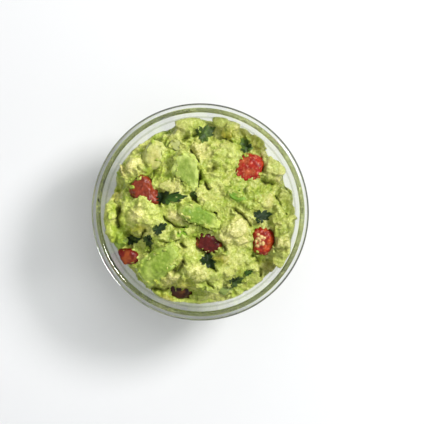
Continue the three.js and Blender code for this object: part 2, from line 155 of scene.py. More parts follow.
# Lumps that stand out: centre x and y, length, width and rise in millimetres,
# turn in degrees, tone.
LUMPS = [
    # Top.
    (-5.7, 45.1, 11.1, 7.1, 2.2, 5, "pale"), (-11.2, 40.1, 5.6, 5.6, 1.8, 0, "cream"),
    (-5.7, 36.5, 3.5, 3.0, 1.2, 0, "mid"), (0.4, 31.0, 8.6, 6.6, 1.8, -20, "cream"),
    # Upper left.
    (-33.5, 22.9, 9.6, 6.6, 2.0, 30, "cream"), (-39.1, 19.8, 8.6, 2.5, 1.4, -62, "khaki"),
    (-19.8, 39.3, 12.1, 4.0, 1.5, 8, "green"), (-14.3, 12.8, 9.1, 4.6, 1.8, -10, "cream"),
    (-23.4, 12.8, 6.1, 4.6, 2.2, -15, "pale"), (-42.1, 8.2, 4.6, 4.0, 1.0, 0, "olive"),
    (-29.4, 5.7, 7.6, 5.6, 2.0, -20, "pale"),
    # Upper right.
    (11.0, 45.1, 9.6, 6.6, 2.0, -10, "pale"), (16.6, 43.6, 5.6, 5.1, 1.5, -50, "cream"),
    (13.6, 39.6, 6.1, 6.1, 1.0, 60, "olive"), (23.7, 39.3, 6.1, 4.6, 1.4, -25, "olive"),
    (29.8, 36.0, 8.1, 6.1, 1.6, -55, "olive"), (30.8, 30.0, 7.1, 5.6, 1.6, -35, "pale"),
    (36.8, 22.4, 10.1, 8.6, 2.0, -35, "pale"), (39.4, 18.3, 6.1, 4.6, 1.5, -50, "cream"),
    (34.3, 4.7, 4.6, 8.6, 1.8, -8, "cream"),
    # Above the middle.
    (6.5, 24.9, 6.6, 4.6, 1.6, 20, "pale"), (9.5, 14.3, 8.6, 6.1, 1.4, -40, "pale"),
    (14.1, 31.5, 9.1, 5.6, 1.2, -30, "pale"), (18.1, 9.7, 12.1, 4.6, 1.2, -25, "green"),
    (5.0, 4.1, 11.1, 4.6, 1.2, -35, "pale"),
    # Left.
    (-37.0, 2.6, 7.1, 6.1, 2.0, 20, "pale"), (-38.1, -3.4, 7.6, 6.1, 2.0, -30, "mid"),
    (-31.5, -0.9, 6.6, 6.1, 2.4, 0, "cream"), (-24.4, 1.6, 7.6, 6.6, 2.2, 10, "pale"),
    (-22.4, -4.5, 8.6, 5.6, 2.2, -25, "pale"), (-31.5, -8.5, 8.6, 3.5, 1.4, 12, "olive"),
    (-47.2, 0.1, 4.6, 8.1, 1.2, 0, "mid"), (-45.6, -9.5, 4.6, 9.1, 1.2, 15, "mid"),
    (-40.6, -12.5, 6.1, 8.1, 1.4, 20, "green"),
    # The crumbling row below the middle.
    (-11.7, -2.4, 8.1, 5.1, 1.6, -15, "cream"), (-19.8, -11.0, 6.1, 4.0, 1.4, 30, "pale"),
    (-24.9, -12.5, 4.6, 3.5, 1.2, -10, "mid"), (-10.2, -13.1, 5.1, 3.0, 1.0, 0, "pale"),
    (-5.2, -18.1, 7.1, 6.1, 1.8, -35, "pale"), (-8.2, -22.2, 5.6, 4.6, 1.4, 0, "mid"),
    # The ledge, and the bottom edge below it.
    (-6.2, -28.2, 8.1, 6.1, 2.2, -20, "pale"), (0.4, -30.3, 9.1, 7.1, 2.2, 0, "cream"),
    (-12.2, -33.3, 7.6, 6.1, 2.0, -35, "cream"), (-19.3, -35.8, 6.6, 4.6, 1.6, 25, "mid"),
    (-8.2, -36.3, 8.1, 5.1, 2.0, -25, "olive"), (-0.6, -36.3, 7.1, 5.6, 1.8, 0, "mid"),
    (-15.3, -35.3, 3.5, 3.0, 1.6, 0, "cream"), (-18.8, -43.4, 7.6, 3.0, 1.0, -12, "olive"),
    (-23.4, -41.9, 5.6, 3.0, 1.0, -30, "green"), (-5.2, -44.9, 12.1, 3.0, 1.0, 0, "mid"),
    (1.9, -42.9, 6.6, 4.0, 1.6, 10, "pale"),
    # The cream mound and its ridge.
    (18.1, -8.5, 12.1, 8.6, 2.2, 35, "cream"), (20.6, -14.1, 8.6, 6.1, 1.6, -30, "cream"),
    (13.1, -13.1, 6.6, 5.6, 1.4, 0, "cream"), (23.7, -1.4, 15.2, 3.5, 1.8, -28, "pale"),
    # Lower right.
    (41.9, -14.6, 6.6, 6.6, 2.0, 0, "cream"), (39.9, -24.2, 8.6, 6.1, 2.0, -40, "pale"),
    (34.3, -26.7, 8.1, 5.1, 1.6, -20, "olive"), (32.3, -22.2, 6.6, 4.6, 1.4, 0, "green"),
    (11.0, -24.7, 7.6, 5.1, 1.4, -20, "olive"), (20.1, -23.7, 8.1, 5.1, 1.4, 15, "pale"),
    (24.7, -27.2, 7.1, 5.1, 1.4, -20, "pale"), (14.1, -30.3, 7.6, 5.1, 1.4, 30, "mid"),
    (7.0, -36.3, 9.6, 8.1, 2.2, -20, "pale"), (2.4, -37.8, 4.6, 4.6, 1.4, 0, "green"),
    (28.7, -32.8, 7.6, 5.1, 1.5, 35, "pale"), (18.1, -42.4, 9.1, 4.0, 1.2, 25, "mid"),
    (11.0, -43.9, 7.1, 4.0, 1.2, 0, "pale"), (26.2, -37.8, 7.1, 4.0, 1.2, 40, "mid"),
    # Right edge.
    (41.9, 9.7, 5.1, 8.1, 1.8, 30, "pale"), (44.9, 3.6, 4.6, 9.1, 1.6, 20, "mid"),
    (39.9, 0.1, 5.1, 8.1, 1.6, 15, "pale"), (44.9, -6.0, 4.6, 8.1, 1.6, 0, "pale"),
    (39.4, -8.0, 4.6, 7.1, 1.4, -15, "mid"),
]

# Cracks and pits between the lumps: half width, depth and points along each, in
# millimetres.
CREVICES = [
    (0.65, 2.0, (-43.6, 4.7), (-41.1, 0.6), (-42.1, -3.4), (-41.1, -7.0)),
    (0.5, 2.2, (-5.2, 31.0), (-2.1, 27.9), (-0.6, 25.4)),
    (0.7, 2.4, (-2.6, 22.9), (-1.1, 20.3), (-0.6, 16.8), (2.9, 14.8), (4.5, 11.7)),
    (0.8, 2.2, (-4.7, 11.2), (-2.6, 8.2), (-1.6, 5.7)),
    (0.6, 2.0, (-8.7, 37.0), (-7.2, 38.6)), (0.6, 1.6, (-4.1, 38.6), (-2.1, 39.6)),
    (1.0, 2.4, (3.9, 20.8), (6.5, 21.9)), (1.1, 2.6, (32.8, 15.8), (36.3, 14.8)),
    (0.9, 2.4, (-19.8, 10.7), (-19.3, 8.2), (-21.9, 5.2)), (0.7, 1.6, (-26.4, 17.8), (-23.9, 19.3)),
    (0.6, 2.0, (-18.8, -2.4), (-16.3, -5.5), (-12.2, -8.0), (-8.7, -8.0)),
    (0.8, 2.2, (-37.5, -10.0), (-34.5, -13.1), (-30.0, -13.6), (-27.4, -10.0)),
    (0.7, 1.6, (-39.6, 13.3), (-41.6, 11.2)),
    (0.7, 2.0, (-25.4, -18.6), (-25.4, -21.7)), (0.8, 2.0, (-9.2, -15.6), (-7.2, -17.6)),
    (0.6, 1.6, (-20.3, -15.6), (-15.3, -15.6), (-11.2, -14.1)),
    (1.1, 3.0, (-12.8, -29.8), (-11.2, -27.7), (-8.7, -25.2)),
    (0.8, 1.8, (-24.9, -39.9), (-21.4, -38.9), (-17.3, -39.4)),
    (0.8, 2.2, (5.0, -28.2), (7.0, -30.3)),
    (0.7, 2.2, (16.1, 2.6), (19.1, -0.9), (23.2, -3.9), (26.2, -7.0)),
    (0.9, 2.4, (36.3, -10.0), (37.3, -14.1), (38.9, -18.6), (42.4, -19.1)),
    (0.7, 2.0, (10.0, -16.1), (12.0, -18.6)), (0.6, 1.6, (3.4, -34.8), (5.5, -38.4)),
    (0.8, 1.8, (26.7, -21.7), (28.7, -24.2)), (0.7, 1.8, (31.3, -29.2), (30.8, -32.3)),
    (0.5, 1.4, (43.9, 13.3), (47.0, 7.7), (48.5, 3.1)),
    (0.5, 1.3, (38.4, 7.7), (41.4, 2.6), (43.4, -1.9)),
    (0.6, 1.6, (13.1, 37.5), (16.1, 35.0)), (0.7, 1.8, (31.3, 24.9), (32.3, 20.3)),
    (0.5, 1.2, (-27.4, 33.5), (-29.4, 27.4)), (0.9, 1.8, (-21.9, 21.4), (-23.9, 18.3)),
]

# ----- sizes of the pieces
# Fine skin of each kind of piece: voxel, rounds of smoothing, and its relief
# as feature sizes and depths.
SKINS = {
    "avocado": (0.34 * MM, 2, [(4.5 * MM, 0.4 * MM), (1.7 * MM, 0.3 * MM)]),
    "tomato": (0.32 * MM, 3, [(3.2 * MM, 0.4 * MM), (1.3 * MM, 0.2 * MM)]),
    "onion": (0.3 * MM, 3, [(3 * MM, 0.4 * MM), (1.3 * MM, 0.2 * MM)]),
}
SKIN_SWELL = 0.12 * MM
# What the finished pieces of each kind are called.
TITLES = {"avocado": "flesh", "tomato": "dice", "onion": "onion_bit", "cilantro": "leaf"}
# Look of each kind: size and depth of its grain, roughness, how much light goes
# in, how far red, green and blue go, and the tint that mottles it.
LOOKS = {
    "avocado": (0.8 * MM, 0.3 * MM, 0.36, 0.25, (0.9, 1.0, 0.3), (206, 214, 176)),
    "tomato": (1.0 * MM, 0.35 * MM, 0.3, 0.2, (1.4, 0.35, 0.2), (184, 168, 150)),
    "onion": (2 * MM, 0.2 * MM, 0.36, 0.6, (1, 1, 0.8), (220, 222, 200)),
    "cilantro": (0.9 * MM, 0.25 * MM, 0.5, 0.0, (1, 1, 1), (170, 182, 160)),
}
# The cut that levels a piece's top: its depth, its fall and which way, in degrees.
TOMATO_CUT = (0.7 * MM, 0.06, 200)
ONION_CUT = (0.9 * MM, 0.1, 60)
# Each avocado chunk's tones, towards its middle and its edges, and the cut of
# its top, its depth in millimetres.
FLESH = [
    ((152, 172, 76), (194, 206, 116), (1.3, 0.12, 190)),
    ((130, 160, 52), (192, 204, 106), (1.2, 0.1, 300)),
    ((138, 162, 56), (180, 196, 98), (1.3, 0.06, 220)),
    ((126, 152, 54), (158, 176, 84), (0.8, 0.1, 0)),
    ((138, 178, 44), (180, 204, 84), (0.9, 0.1, 90)),
    ((112, 152, 40), (150, 182, 68), (1.0, 0.1, 0)),
    ((200, 194, 116), (204, 208, 128), (0.3, 0.1, 120)),
]
# Chunks that run to a point, and the share of their width left there.
POINTED = {1: 0.35, 2: 0.6}
# Each tomato die's tones: the flesh, and where it is paler or brown.
TOMATO_TONES = [
    ((152, 60, 32), (132, 40, 8)),
    ((168, 32, 10), (186, 84, 44)),
    ((96, 18, 8), (156, 76, 40)),
    ((156, 30, 8), (182, 70, 18)),
    ((124, 20, 6), (158, 74, 28)),
    ((68, 32, 10), (146, 96, 40)),
    ((166, 42, 20), (196, 88, 52)),
]
SEEDED = 4
SEED_TONE = (226, 196, 130)
SEED_VOXEL = 0.26 * MM
SEEDS = 9
# Painted glints: pinkish flecks standing in for wet highlights on the tomato dice:
# their tone and how strongly each piece shows them.
GLINT_TONE = (232, 150, 112)
GLINT_SHARES = {1: 0.15, 2: 0.6, 4: 0.45}
ONION_TONES = [(184, 188, 120), (184, 188, 120), (146, 164, 88)]
LEAF_RINGS = 12
LEAF_TURNS = 108
LEAF_THICKNESS = 0.28 * MM
LEAF_LIFT = 0.3 * MM
LEAF_CURL = 0.5 * MM
VEIN_DEPTH = 0.12 * MM
# Tones of the leaves: greens from dark to pale.
LEAF_TONES = {"dark": (30, 52, 10), "pale_green": (92, 118, 44), "grey": (60, 82, 24), "fresh": (62, 96, 20)}
# Each leaf's two tones.
LEAF_LOOKS = [
    ("pale_green", "grey"), ("pale_green", "dark"), ("dark", "fresh"), ("dark", "grey"), ("dark", "dark"),
    ("grey", "dark"), ("grey", "dark"), ("grey", "dark"), ("dark", "dark"), ("dark", "grey"),
    ("fresh", "dark"),
]

# ----- view and light
FRAME_WIDTH = 213.7 * MM
CAMERA_HEIGHT = 0.8
CAMERA_SIDE = 5.97 * MM
SENSOR = 36
KEY_AZIMUTH = math.radians(31)
KEY_ELEVATION = math.radians(45.5)
KEY_DISTANCE = 1.0
KEY_SIZE = 0.30
KEY_POWER = 10.6
SKY_STRENGTH = 0.69
SKY_TINT = (0.96, 0.98, 1)
FLOOR_SIZE = 6
FLOOR_TONE = 0.72


# ----- numbers and colours

def linear(colour):
    """A colour as shown on screen, 0 to 255, as linear light."""
    share = np.asarray(colour, float) / 255
    return np.where(share <= 0.04045, share / 12.92, ((share + 0.055) / 1.055) ** 2.4)


def mixed(first, second, share):
    """Two colours, or two for each point, mixed by the share of the second."""
    share = np.reshape(share, (-1, 1))
    return np.asarray(first) * (1 - share) + np.asarray(second) * share


def heading(angle):
    """The unit direction at an angle, in a plane."""
    return np.array([math.cos(angle), math.sin(angle)])


def soft_step(value, low, high):
    share = np.clip((value - low) / (high - low), 0, 1)
    return share * share * (3 - 2 * share)


# Random values on repeating cubes of lattice points, for noise() and cells().
LATTICE = 64
LATTICES = [np.random.default_rng(seed).uniform(-1, 1, (LATTICE,) * 3) for seed in range(4)]


def noise(points, size, kind=0):
    """Smooth noise from -1 to 1 with features about size across."""
    scaled = points / size + 100.37 + kind * 7.13
    cell = np.floor(scaled).astype(int)
    part = scaled - cell
    part = part * part * (3 - 2 * part)
    grid = LATTICES[kind % len(LATTICES)]
    total = np.zeros(len(points))
    for corner in range(8):
        step = np.array([(corner >> axis) & 1 for axis in range(3)])
        weight = np.prod(np.where(step, part, 1 - part), axis=1)
        x, y, z = ((cell + step) % LATTICE).T
        total += weight * grid[x, y, z]
    return total


def cells(points, size, kind):
    """How far inside its random cell each point lies, 0 at the border, and
    two random values of that cell."""
    warp = np.stack([noise(points, size * 1.3, k) for k in range(3)], 1)
    scaled = (points + warp * size * 0.45) / size + 50.5 + kind * 3.7
    base = np.floor(scaled).astype(int)
    near = np.full(len(points), 9.0)
    second = np.full(len(points), 9.0)
    values = np.zeros((len(points), 2))
    for step in np.ndindex(3, 3, 3):
        cell = base + np.array(step) - 1
        x, y, z = (cell % LATTICE).T
        jitter = np.stack([LATTICES[k][x, y, z] for k in range(3)], 1) * 0.45 + 0.5
        away = np.linalg.norm(cell + jitter - scaled, axis=1)
        closer = away < near
        second = np.where(closer, near, np.minimum(second, away))
        own = np.stack([LATTICES[3][x, y, z], LATTICES[3][z, x, y]], 1)
        values[closer] = own[closer]
        near = np.where(closer, away, near)
    return second - near, values


# ----- meshes

def linked(name, data):
    """A new object in the scene."""
    obj = bpy.data.objects.new(name, data)
    scene.collection.objects.link(obj)
    return obj


def new_piece(name, mesh, node_names, material):
    """Puts a finished mesh in the scene in place of CAD nodes."""
    obj = linked(name, mesh)
    mesh.materials.append(material)
    mesh.shade_smooth()
    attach(obj, "root")
    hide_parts(*node_names)
    return obj


def mesh_from(name, points, triangles):
    mesh = bpy.data.meshes.new(name)
    mesh.vertices.add(len(points))
    set_points(mesh, points)
    mesh.loops.add(triangles.size)
    mesh.loops.foreach_set("vertex_index", np.asarray(triangles, np.int32).ravel())
    mesh.polygons.add(len(triangles))
    mesh.polygons.foreach_set("loop_start", np.arange(0, triangles.size, 3, dtype=np.int32))
    mesh.update(calc_edges=True)
    mesh.validate()
    return mesh


def from_bmesh(name, work):
    mesh = bpy.data.meshes.new(name)
    work.to_mesh(mesh)
    work.free()
    return mesh


def read(items, key, width, kind=np.float32):
    """One property of all items, as rows of width values."""
    values = np.zeros(len(items) * width, kind)
    items.foreach_get(key, values)
    return values.reshape(-1, width)


def points_of(mesh):
    return read(mesh.vertices, "co", 3).astype(float)


def normals_of(mesh):
    return read(mesh.vertex_normals, "vector", 3).astype(float)


def triangles_of(mesh):
    mesh.calc_loop_triangles()
    return read(mesh.loop_triangles, "vertices", 3, np.int32)


def set_points(mesh, points):
    mesh.vertices.foreach_set("co", np.asarray(points, np.float32).ravel())
    mesh.update()


def paint(mesh, colours):
    layer = mesh.color_attributes.new("tone", "FLOAT_COLOR", "POINT")
    rgba = np.concatenate([colours, np.ones((len(colours), 1))], 1)
    layer.data.foreach_set("color", rgba.astype(np.float32).ravel())


def neighbour_mean(mesh, values):
    """Each vertex's value as the mean of its neighbours' values."""
    edges = read(mesh.edges, "vertices", 2, np.int32)
    total = np.zeros_like(values)
    np.add.at(total, edges[:, 0], values[edges[:, 1]])
    np.add.at(total, edges[:, 1], values[edges[:, 0]])
    count = np.bincount(edges.ravel(), minlength=len(values)).astype(float)
    return total / np.maximum(count, 1)[:, None]


def smoothed(mesh, values, rounds, share=0.5):
    for _ in range(rounds):
        values = values * (1 - share) + neighbour_mean(mesh, values) * share
    return values


def joined(shapes):
    """Several shapes' points and triangles as those of one."""
    starts = np.cumsum([0] + [len(points) for points, _ in shapes])
    triangles = [own + start for (_, own), start in zip(shapes, starts)]
    return np.concatenate([points for points, _ in shapes]), np.concatenate(triangles)


def node_solid(name):
    """A CAD node as a mesh whose shared points are merged."""
    work = bmesh.new()
    work.from_mesh(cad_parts[name].data)
    bmesh.ops.remove_doubles(work, verts=work.verts, dist=1e-6)
    bmesh.ops.triangulate(work, faces=work.faces)
    return from_bmesh(name + "_copy", work)


def evaluated(obj):
    """The mesh that an object's modifiers make of it; the object is removed."""
    source = obj.data
    seen = obj.evaluated_get(bpy.context.evaluated_depsgraph_get())
    mesh = bpy.data.meshes.new_from_object(seen)
    bpy.data.objects.remove(obj)
    bpy.data.meshes.remove(source)
    return mesh


def voxel_union(points, triangles, voxel):
    """One closed skin round overlapping closed shapes."""
    obj = linked("rough", mesh_from("rough", points, triangles))
    union = obj.modifiers.new("union", "REMESH")
    union.mode = "VOXEL"
    union.voxel_size = voxel
    return evaluated(obj)


def tree_of(*meshes):
    """One tree of these meshes' faces, for rays from above."""
    points, triangles = joined([(points_of(mesh), triangles_of(mesh)) for mesh in meshes])
    return BVHTree.FromPolygons(points.tolist(), triangles.tolist())


def drop(tree, x, y):
    """The point and face normal that a ray from above meets, or None."""
    hit, normal, _, _ = tree.ray_cast(Vector((x, y, 0.2)), Vector((0, 0, -1)))
    return (np.array(hit), np.array(normal)) if hit is not None else None


def height_of(tree, x, y):
    """The height where a ray from above meets a face, or far below."""
    met = drop(tree, x, y)
    return -1.0 if met is None else met[0][2]


def nearest_of(points, targets):
    """The nearest target of each point, and how far away it is."""
    tree = KDTree(len(targets))
    for i, target in enumerate(targets):
        tree.insert(target, i)
    tree.balance()
    found = [tree.find(point)[1:] for point in points]
    return np.array([index for index, _ in found]), np.array([away for _, away in found])


# ----- broken lumps

def ball(rounds):
    """Points and triangles of a unit ball."""
    work = bmesh.new()
    bmesh.ops.create_icosphere(work, subdivisions=rounds, radius=1)
    points = np.array([v.co for v in work.verts])
    triangles = np.array([[v.index for v in f.verts] for f in work.faces])
    work.free()
    return points, triangles


def turn_matrices(q):
    """Rotation matrices from quaternions of any length."""
    w, x, y, z = (q / np.linalg.norm(q, axis=1)[:, None]).T
    return np.stack([
        np.stack([1 - 2 * (y * y + z * z), 2 * (x * y - z * w), 2 * (x * z + y * w)], -1),
        np.stack([2 * (x * y + z * w), 1 - 2 * (x * x + z * z), 2 * (y * z - x * w)], -1),
        np.stack([2 * (x * z - y * w), 2 * (y * z + x * w), 1 - 2 * (x * x + y * y)], -1),
    ], 1)


def upright_turns(angles):
    """Rotation matrices about the vertical."""
    w, z = np.cos(angles / 2), np.sin(angles / 2)
    return turn_matrices(np.outer(w, [1, 0, 0, 0]) + np.outer(z, [0, 0, 0, 1]))


def crumbs(centres, sizes, turns, rounds, cuts=6):
    """Broken, flat-sided lumps of the given half sizes, as points and triangles."""
    base, base_triangles = ball(rounds)
    count = len(centres)
    waves = rng.normal(size=(count, 3, 3)) * 1.9
    phases = rng.uniform(0, 2 * np.pi, (count, 3))
    swell = 1 + 0.14 * np.sin(np.einsum("vc,nkc->nvk", base, waves) + phases[:, None]).sum(-1)
    shaped = base[None] * swell[..., None]
    for _ in range(cuts):
        facing = rng.normal(size=(count, 3))
        facing /= np.linalg.norm(facing, axis=1)[:, None]
        beyond = np.einsum("nvc,nc->nv", shaped, facing) - rng.uniform(0.5, 0.85, (count, 1))
        shaped = shaped - np.maximum(beyond, 0)[..., None] * facing[:, None]
    turned = np.einsum("nij,nvj->nvi", turns, shaped * sizes[:, None])
    points = turned + centres[:, None]
    triangles = base_triangles[None] + (np.arange(count) * len(base))[:, None, None]
    return points.reshape(-1, 3), triangles.reshape(-1, 3)


# ----- materials

def new_material(name):
    material = bpy.data.materials.new(name)
    material.use_nodes = True
    tree = material.node_tree
    return material, tree, tree.nodes["Principled BSDF"]


def add(tree, kind, inputs=None, **values):
    """A new shader node with these inputs and settings."""
    node = tree.nodes.new(kind)
    for key, value in values.items():
        setattr(node, key, value)
    fill(node, inputs or {})
    return node


def fill(node, inputs):
    for key, value in inputs.items():
        node.inputs[key].default_value = value


def noise_value(tree, scale, detail, roughness):
    coordinates = add(tree, "ShaderNodeTexCoord")
    texture = add(tree, "ShaderNodeTexNoise", {"Scale": scale, "Detail": detail, "Roughness": roughness})
    tree.links.new(coordinates.outputs["Object"], texture.inputs["Vector"])
    return texture.outputs["Fac"]


def glass_material():
    """Clear glass with a trace of green; a lamp's light passes straight through."""
    material, tree, shader = new_material("clear_glass")
    link = tree.links.new
    fill(shader, {"Roughness": 0.0, "IOR": 1.5, "Transmission Weight": 1.0})
    tone = add(tree, "ShaderNodeVertexColor", layer_name="tone")
    clear = add(tree, "ShaderNodeBsdfTransparent", {"Color": GLASS_SHADOW})
    body = add(tree, "ShaderNodeVolumeAbsorption", {"Color": GLASS_BODY, "Density": GLASS_DENSITY})
    path = add(tree, "ShaderNodeLightPath")
    mix = add(tree, "ShaderNodeMixShader")
    output = tree.nodes["Material Output"]
    link(tone.outputs["Color"], shader.inputs["Base Color"])
    link(path.outputs["Is Shadow Ray"], mix.inputs[0])
    link(shader.outputs[0], mix.inputs[1])
    link(clear.outputs[0], mix.inputs[2])
    link(mix.outputs[0], output.inputs["Surface"])
    link(body.outputs[0], output.inputs["Volume"])
    return material


def moist_material(name, mottles, stops, grain_scale, bump, roughness, softness, radii):
    """A moist surface: its painted tone mottled by soft noises, with a grain. mottles
    holds each noise's scale, detail and tint, and bump the grain's depth and strength."""
    material, tree, shader = new_material(name)
    link = tree.links.new
    colour = add(tree, "ShaderNodeVertexColor", layer_name="tone").outputs["Color"]
    for scale, detail, darkest in mottles:
        ramp = add(tree, "ShaderNodeValToRGB")
        for element, place, tint in zip(ramp.color_ramp.elements, stops, (darkest, (255, 255, 255))):
            element.position = place
            element.color = (*linear(tint), 1)
        link(noise_value(tree, scale, detail, 0.55), ramp.inputs["Fac"])
        mix = add(tree, "ShaderNodeMix", {0: 1.0}, data_type="RGBA", blend_type="MULTIPLY")
        link(colour, mix.inputs[6])
        link(ramp.outputs["Color"], mix.inputs[7])
        colour = mix.outputs[2]
    link(colour, shader.inputs["Base Color"])
    depth, strength = bump
    relief = add(tree, "ShaderNodeBump", {"Distance": depth, "Strength": strength})
    link(noise_value(tree, grain_scale, 4, 0.6), relief.inputs["Height"])
    link(relief.outputs["Normal"], shader.inputs["Normal"])
    fill(shader, {
        "Roughness": roughness, "Specular IOR Level": 0.3, "Subsurface Weight": softness,
        "Subsurface Radius": radii, "Subsurface Scale": 1.2 * MM,
    })
    return material


def mash_material():
    mottles = [(420, 3, (226, 229, 208)), (1100, 3, (214, 220, 180))]
    bump = (0.6 * MM, 0.85)
    return moist_material("mash", mottles, (0.36, 0.62), 620, bump, 0.33, 0.22, (1.0, 0.9, 0.35))


@functools.cache
def piece_material(kind):
    """The moist cut surface of one kind of piece."""
    grain, depth, roughness, softness, radii, tint = LOOKS[kind]
    mottles = [(1 / grain * 0.35, 4, tint)]
    return moist_material(kind, mottles, (0.3, 0.7), 1 / grain, (depth, 0.7), roughness, softness, radii)


# ----- the bowl

def bezier(p0, p1, p2, p3, steps):
    t = np.linspace(0, 1, steps + 1)[:, None]
    p0, p1, p2, p3 = (np.asarray(p, float) for p in (p0, p1, p2, p3))
    return p0 * (1 - t) ** 3 + 3 * p1 * t * (1 - t) ** 2 + 3 * p2 * t * t * (1 - t) + p3 * t ** 3


def on_lip(angle):
    """Radius and height of the point of the lip's round at an angle."""
    radius = LIP_WIDTH / 2
    return np.array([RIM_RADIUS - radius, BOWL_HEIGHT - radius]) + radius * heading(angle)


def inner_profile(steps):
    """Radius and height along the inner wall, from the floor's middle to the lip."""
    end = on_lip(math.pi / 2 + WALL_SLOPE)
    return bezier((0, FLOOR), (FLOOR_REACH, FLOOR), end - SLOPE_REACH * heading(WALL_SLOPE), end, steps)


def outer_profile():
    """The outer wall with its fillet into the lip, and the fillet's end angle there."""
    lip = LIP_WIDTH / 2
    out = WALL_THICKNESS - lip + LIP_FILLET
    down = math.sqrt((lip + LIP_FILLET) ** 2 - out ** 2)
    up_wall = heading(WALL_SLOPE)
    out_of_wall = np.array([up_wall[1], -up_wall[0]])
    centre = np.array([RIM_RADIUS - lip, BOWL_HEIGHT - lip]) + out_of_wall * out - up_wall * down
    lip_angle = WALL_SLOPE - math.pi / 2 - math.atan2(down, out) + math.pi
    turn = np.linspace(WALL_SLOPE + math.pi / 2, lip_angle, FILLET_STEPS + 1)
    fillet = centre + LIP_FILLET * np.stack([np.cos(turn), np.sin(turn)], 1)
    below = fillet[0] - SLOPE_REACH * up_wall
    wall = bezier((FOOT_RADIUS, FOOT_EDGE), FOOT_FLARE, below, fillet[0], WALL_STEPS)
    return np.concatenate([wall, fillet[1:]]), lip_angle - math.pi


def lathe(name, profile, steps):
    """Spins a profile that starts and ends on the axis."""
    work = bmesh.new()
    turns = np.linspace(0, 2 * np.pi, steps, endpoint=False)
    rings = []
    for radius, height in profile:
        spots = turns if radius > 1e-7 else turns[:1]
        ring = [(radius * math.cos(a), radius * math.sin(a), height) for a in spots]
        rings.append([work.verts.new(point) for point in ring])
    for low, high in zip(rings, rings[1:]):
        for i in range(steps):
            j = (i + 1) % steps
            corners = low[i % len(low)], low[j % len(low)], high[j % len(high)], high[i % len(high)]
            work.faces.new(list(dict.fromkeys(corners)))
    bmesh.ops.recalc_face_normals(work, faces=work.faces)
    return from_bmesh(name, work)


def glass_bowl():
    outer, lip_start = outer_profile()
    lip_angles = np.linspace(lip_start, math.pi / 2 + WALL_SLOPE, LIP_STEPS + 2)[1:-1]
    edge_angles = np.linspace(-math.pi / 2, 0, FOOT_STEPS + 1)[:-1]
    edge_centre = np.array([FOOT_RADIUS - FOOT_EDGE, FOOT_EDGE])
    profile = [
        (0, 0), (FOOT_RADIUS / 2, 0), *(edge_centre + FOOT_EDGE * heading(a) for a in edge_angles),
        *outer, *(on_lip(a) for a in lip_angles), *inner_profile(WALL_STEPS)[::-1],
    ]
    mesh = lathe("glass_bowl", profile, BOWL_STEPS)
    x, y, z = points_of(mesh).T
    # Painted refraction: the tint is painted dark along the lip's outer edge, palest on the side away
    # from the lamp.
    edge_refraction = soft_step(np.hypot(x, y), RIM_RADIUS - EDGE_LINE, RIM_RADIUS - EDGE_LINE * 0.7)
    edge_refraction *= soft_step(z - BOWL_HEIGHT + LIP_WIDTH / 2, -0.2 * MM, 0.1 * MM)
    facing = np.clip(np.cos(np.arctan2(y, x) - EDGE_PALEST), 0, 1)
    tint = mixed(GLASS_TINT, EDGE_REFRACTION_TINT, edge_refraction * (1 - EDGE_FADE * facing ** 2))
    # Painted refraction: a dark green line painted round the lip's inner side.
    line = np.exp(-((RIM_RADIUS - np.hypot(x, y) - INNER_LINE[0]) / INNER_LINE[1]) ** 2)
    paint(mesh, mixed(tint, INNER_REFRACTION_TINT, line))
    return new_piece("glass_bowl", mesh, ["bowl"], glass_material())


# The inner wall's points, and the unit direction out of the hollow at each.
INNER = inner_profile(PRESS_STEPS)
INNER_WAY = np.gradient(INNER, axis=0)
INNER_OUT = np.stack([INNER_WAY[:, 1], -INNER_WAY[:, 0]], 1)
INNER_OUT /= np.linalg.norm(INNER_WAY, axis=1)[:, None]
# Points compared with the inner wall at a time.
BATCH = 20000


def glass_depth(points):
    """How far each point lies past the inner wall, and the wall's nearest point."""
    flat = np.stack([np.hypot(points[:, 0], points[:, 1]), points[:, 2]], 1)
    nearest = np.zeros(len(points), int)
    for start in range(0, len(points), BATCH):
        part = flat[start:start + BATCH]
        nearest[start:start + BATCH] = ((part[:, None] - INNER[None]) ** 2).sum(-1).argmin(1)
    return ((flat - INNER[nearest]) * INNER_OUT[nearest]).sum(1), nearest


def pressed_to_glass(points, snap=0.0):
    """Points close to the wall or past it, moved to just inside the glass."""
    depth, nearest = glass_depth(points)
    radius = np.hypot(points[:, 0], points[:, 1])
    shift = np.where(depth > PRESS - snap, depth - PRESS, 0)
    flat = np.stack([radius, points[:, 2]], 1) - INNER_OUT[nearest] * shift[:, None]
    scale = np.where(radius > 1e-6, flat[:, 0] / np.maximum(radius, 1e-6), 1)
    return np.stack([points[:, 0] * scale, points[:, 1] * scale, flat[:, 1]], 1)


def press(mesh):
    """Presses a piece to the glass and returns its points."""
    set_points(mesh, pressed_to_glass(points_of(mesh)))
    return points_of(mesh)


# ----- the mash

def kind_of(node_name):
    return node_name.split("_")[0]


EMBEDDED = sorted(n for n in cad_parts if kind_of(n) in ("avocado", "tomato", "onion"))
LEAVES = sorted(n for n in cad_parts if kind_of(n) == "cilantro")


def number_of(node_name):
    return int(node_name.split("_")[-1])


def free_places(mash_tree, piece_tree, count):
    """Random places on the free top of the mash, with the way its face looks."""
    found = []
    while len(found) < count:
        radius = HEAP_REACH * math.sqrt(rng.uniform())
        x, y = radius * heading(rng.uniform(0, 2 * math.pi))
        ground = drop(mash_tree, x, y)
        if ground and height_of(piece_tree, x, y) <= ground[0][2] - 1 * MM:
            found.append(ground)
    return np.array(found).transpose(1, 0, 2)


def edge_places(mash_tree, piece_tree, count, reach):
    """Random places on the pieces, close to where the mash meets them."""
    places = []
    while len(places) < count:
        place = rng.uniform(-HEAP_REACH, HEAP_REACH, 2)
        top = drop(piece_tree, *place)
        if top is None or height_of(mash_tree, *place) > top[0][2]:
            continue
        beside = place + reach * heading(rng.uniform(0, 2 * math.pi))
        if height_of(mash_tree, *beside) > height_of(piece_tree, *beside):
            places.append(top[0])
    return np.array(places)


